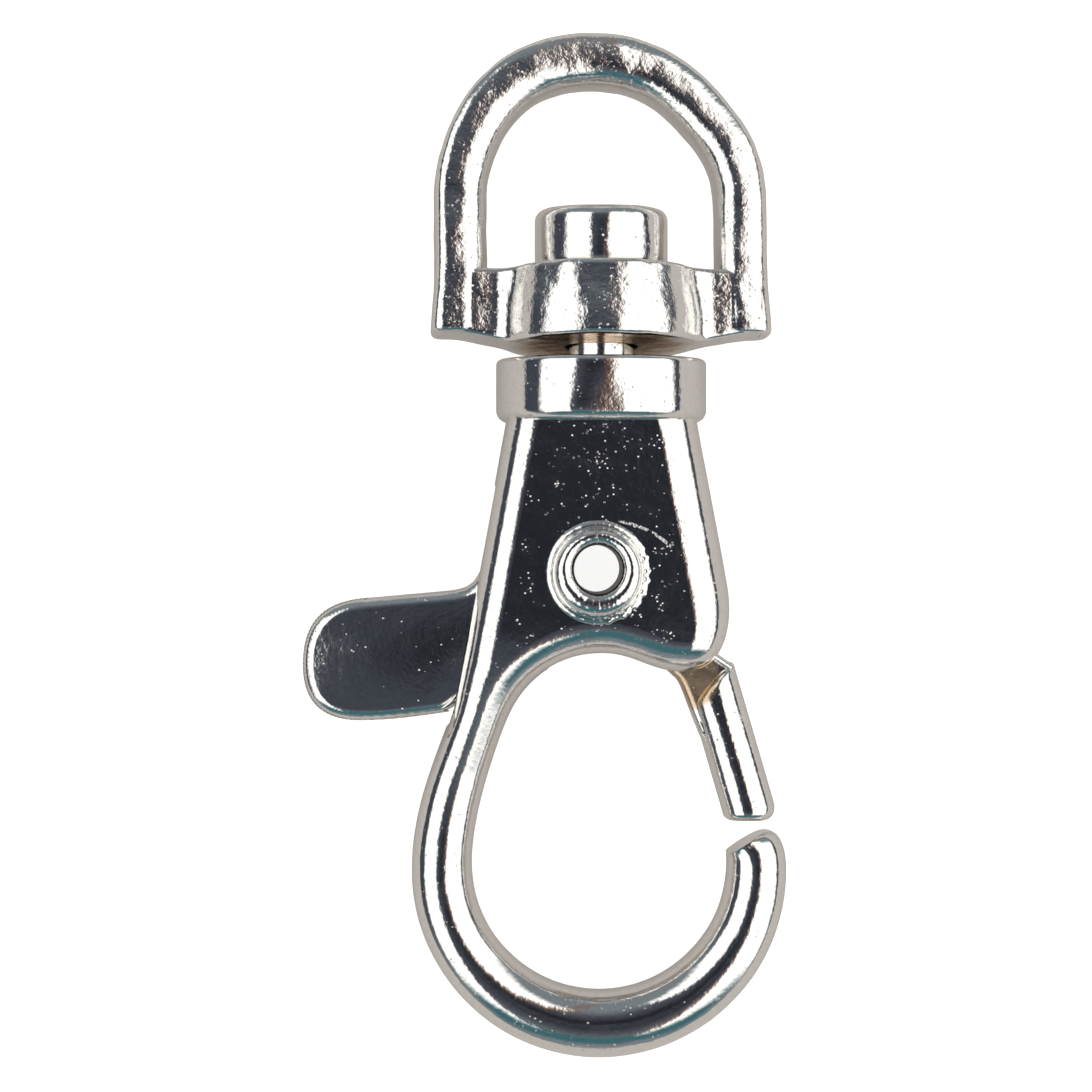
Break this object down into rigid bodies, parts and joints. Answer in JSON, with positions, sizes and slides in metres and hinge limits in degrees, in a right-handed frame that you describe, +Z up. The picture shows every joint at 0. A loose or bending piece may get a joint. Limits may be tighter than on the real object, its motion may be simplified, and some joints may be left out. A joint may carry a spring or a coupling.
{
  "type": "swivel lobster clasp",
  "caption": "Cast swivel snap hook: a looped hook with a sprung thumb-lever gate on a hollow rivet, and a D-shaped ring that turns on a headed stud.",
  "frame": {"origin": "middle of the bottom of the bounding box, on the table that the clasp lies on", "axes": "+X to the right of the clasp seen from above, +Y from the hook's loop to the ring, +Z up"},
  "size_m": [0.018, 0.0378, 0.008],
  "materials": {
    "nickel": "polished nickel plate on zinc casting",
    "steel": "drawn spring wire"
  },
  "bodies": {
    "hook": {"hook_body": "nickel", "pivot_rivet": "nickel", "swivel_stud": "nickel", "gate_spring": "steel"},
    "lever": {"gate_lever": "nickel"},
    "ring": {"swivel_ring": "nickel"}
  },
  "joints": [
    {"name": "gate_pivot", "type": "hinge", "parent": "hook", "child": "lever", "pos_m": [0.00193, -0.00102, 0.00323], "axis": [0, 0.111, -0.9938], "range_deg": [0, 25], "stiffness_Nm_per_rad": 0.02, "springref_deg": -28.65, "deforming": ["gate_spring"]},
    {"name": "ring_swivel", "type": "hinge", "parent": "hook", "child": "ring", "pos_m": [0.00208, 0.00868, 0.00431], "axis": [0, 0.9938, 0.111], "continuous": true}
  ]
}
